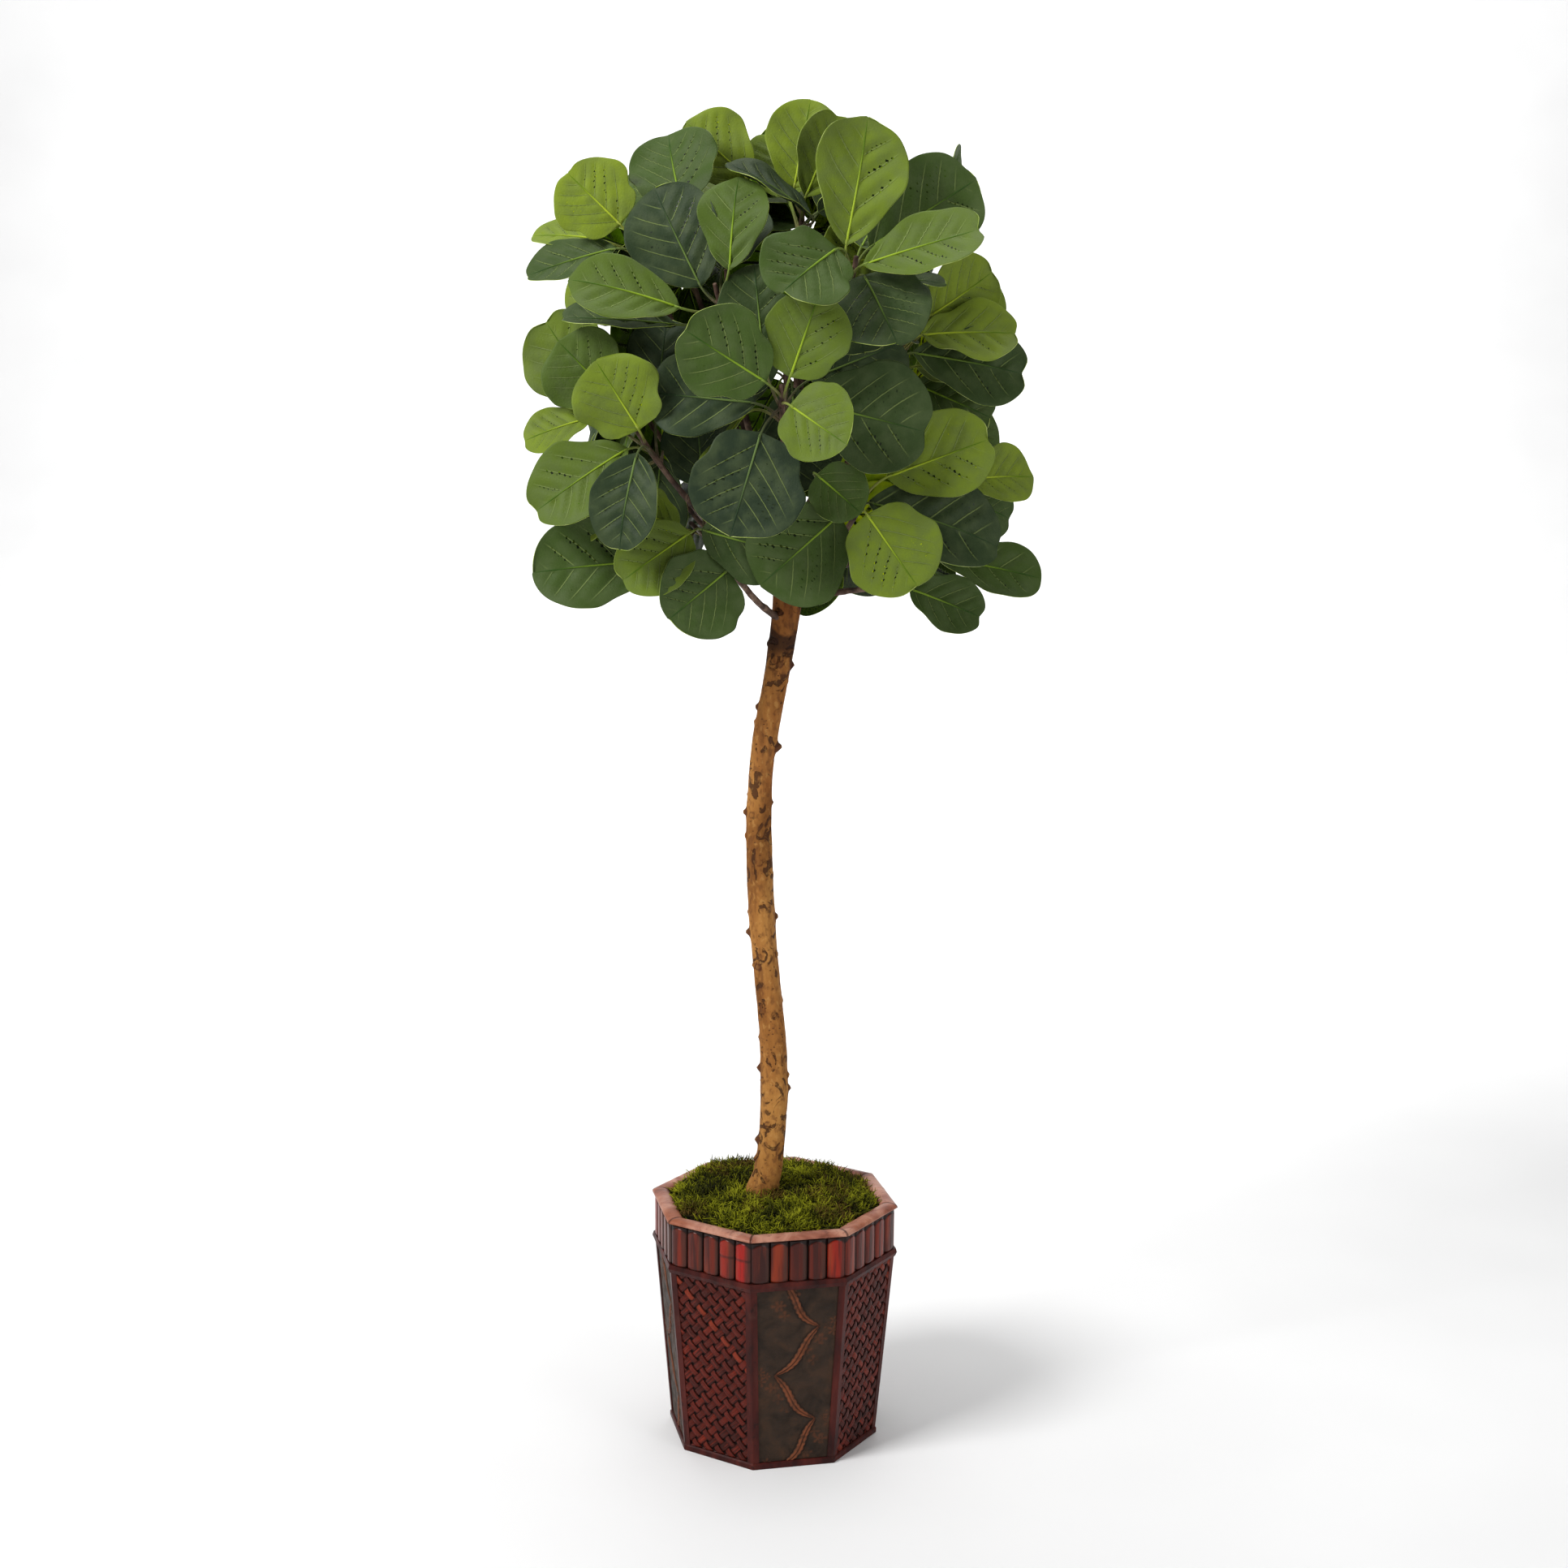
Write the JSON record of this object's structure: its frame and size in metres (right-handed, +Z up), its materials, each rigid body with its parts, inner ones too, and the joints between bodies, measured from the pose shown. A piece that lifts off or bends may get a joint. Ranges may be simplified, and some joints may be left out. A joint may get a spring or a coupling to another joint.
{
  "type": "potted fiddle leaf fig",
  "caption": "Tree-form fiddle leaf fig: a bare, slightly bowed trunk with a round crown of broad veined leaves, standing in a tapered eight-sided bamboo planter topped with moss.",
  "frame": {"origin": "centre of the planter's underside, on the surface it stands on", "axes": "+Z up along the tree; the planter's sides face the X and Y axes, and its carved side with the fullest side of the crown to its left faces -Y"},
  "size_m": [0.6094, 0.5402, 1.6256],
  "materials": {
    "leaf": "satin broad leaves from deep green to yellow green, with paler veins",
    "bark": "dry tan bark with dark scars and spurs",
    "moss": "matte curly moss",
    "soil": "dark potting mix under the moss",
    "rim_wood": "worn, lightly lacquered bamboo rails",
    "bamboo_slats": "glossy red-brown split bamboo",
    "woven_bamboo": "dark red-brown plaited strips",
    "carved_bark": "dark grey-brown board with a low carved leaf pattern",
    "lacquered_strip": "dark lacquered bamboo strip"
  },
  "bodies": {
    "root": {"bead_moulding": "lacquered_strip", "carved_wall_1": "carved_bark", "carved_wall_3": "carved_bark", "carved_wall_5": "carved_bark", "carved_wall_7": "carved_bark", "corner_post_1": "lacquered_strip", "corner_post_2": "lacquered_strip", "corner_post_3": "lacquered_strip", "corner_post_4": "lacquered_strip", "corner_post_5": "lacquered_strip", "corner_post_6": "lacquered_strip", "corner_post_7": "lacquered_strip", "corner_post_8": "lacquered_strip", "floor_board": "lacquered_strip", "moss": "moss", "plinth_moulding": "lacquered_strip", "rim_rail_1": "rim_wood", "rim_rail_2": "rim_wood", "rim_rail_3": "rim_wood", "rim_rail_4": "rim_wood", "rim_rail_5": "rim_wood", "rim_rail_6": "rim_wood", "rim_rail_7": "rim_wood", "rim_rail_8": "rim_wood", "slat_panel_1": "bamboo_slats", "slat_panel_2": "bamboo_slats", "slat_panel_3": "bamboo_slats", "slat_panel_4": "bamboo_slats", "slat_panel_5": "bamboo_slats", "slat_panel_6": "bamboo_slats", "slat_panel_7": "bamboo_slats", "slat_panel_8": "bamboo_slats", "soil": "soil", "spray_back_left_high": "leaf", "spray_back_left_low": "leaf", "spray_back_low": "leaf", "spray_back_middle": "leaf", "spray_back_right_middle": "leaf", "spray_back_top": "leaf", "spray_front_middle": "leaf", "spray_left_back_middle": "leaf", "spray_left_front": "leaf", "spray_left_high": "leaf", "spray_lower_left": "leaf", "spray_lower_right": "leaf", "spray_lowest_right": "leaf", "spray_right_back_high": "leaf", "spray_right_back_low": "leaf", "spray_right_low": "leaf", "spray_right_middle": "leaf", "spray_top_left": "leaf", "spray_top_middle": "leaf", "spray_upper_left": "leaf", "spray_upper_right": "leaf", "trunk": "bark", "woven_wall_2": "woven_bamboo", "woven_wall_4": "woven_bamboo", "woven_wall_6": "woven_bamboo", "woven_wall_8": "woven_bamboo"}
  },
  "joints": []
}
